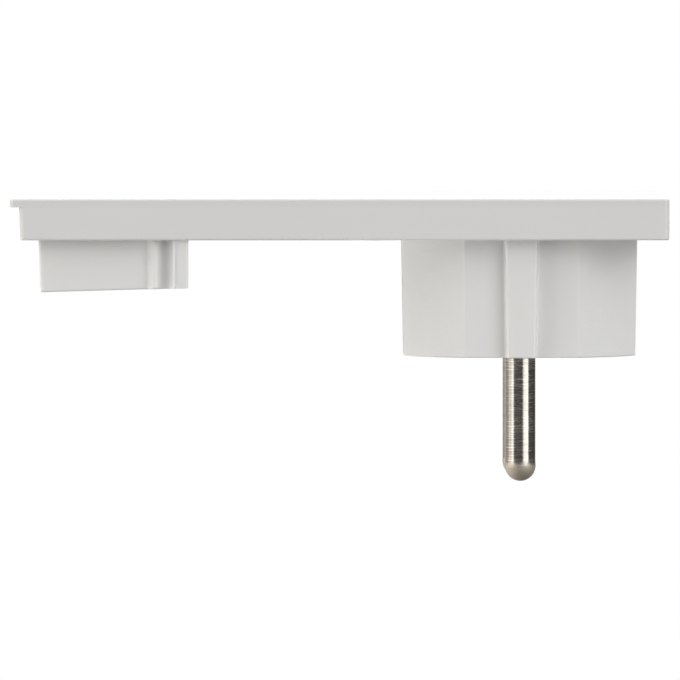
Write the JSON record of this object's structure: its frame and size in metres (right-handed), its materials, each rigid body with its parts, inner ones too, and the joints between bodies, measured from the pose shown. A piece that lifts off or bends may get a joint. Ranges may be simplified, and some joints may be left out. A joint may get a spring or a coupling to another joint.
{
  "type": "flat angled mains plug",
  "caption": "Flat right-angle earthed mains plug: a thin plate with the round plug body under one end, and a shallow cord block and a pull lip at the other.",
  "frame": {"origin": "centre of the plug's engagement face, midway between the two pins", "axes": "+Z from the engagement face up to the lid, -X along the plate to the cord end, pins on the Y axis"},
  "size_m": [0.1027, 0.042, 0.0443],
  "materials": {
    "white_housing": "white moulded plastic, satin, with a fine spark-eroded grain on the plug body",
    "carrier_plastic": "light grey moulded insulating plastic",
    "plated_brass": "bright nickel plating over turned and bent brass",
    "plated_steel": "zinc-plated steel"
  },
  "bodies": {
    "root": {"base_shell": "white_housing", "lid": "white_housing", "cord_cover": "white_housing", "cord_clamp_bar": "carrier_plastic", "pin_carrier": "carrier_plastic", "line_pin": "plated_brass", "neutral_pin": "plated_brass", "earth_strap": "plated_brass", "earth_nut": "plated_steel", "earth_clamp_plate": "plated_steel", "earth_screw": "plated_steel", "pin_terminal_screws": "plated_steel", "carrier_screws": "plated_steel", "clamp_screws": "plated_steel", "housing_screws": "plated_steel", "cover_screws": "plated_steel"}
  },
  "joints": []
}
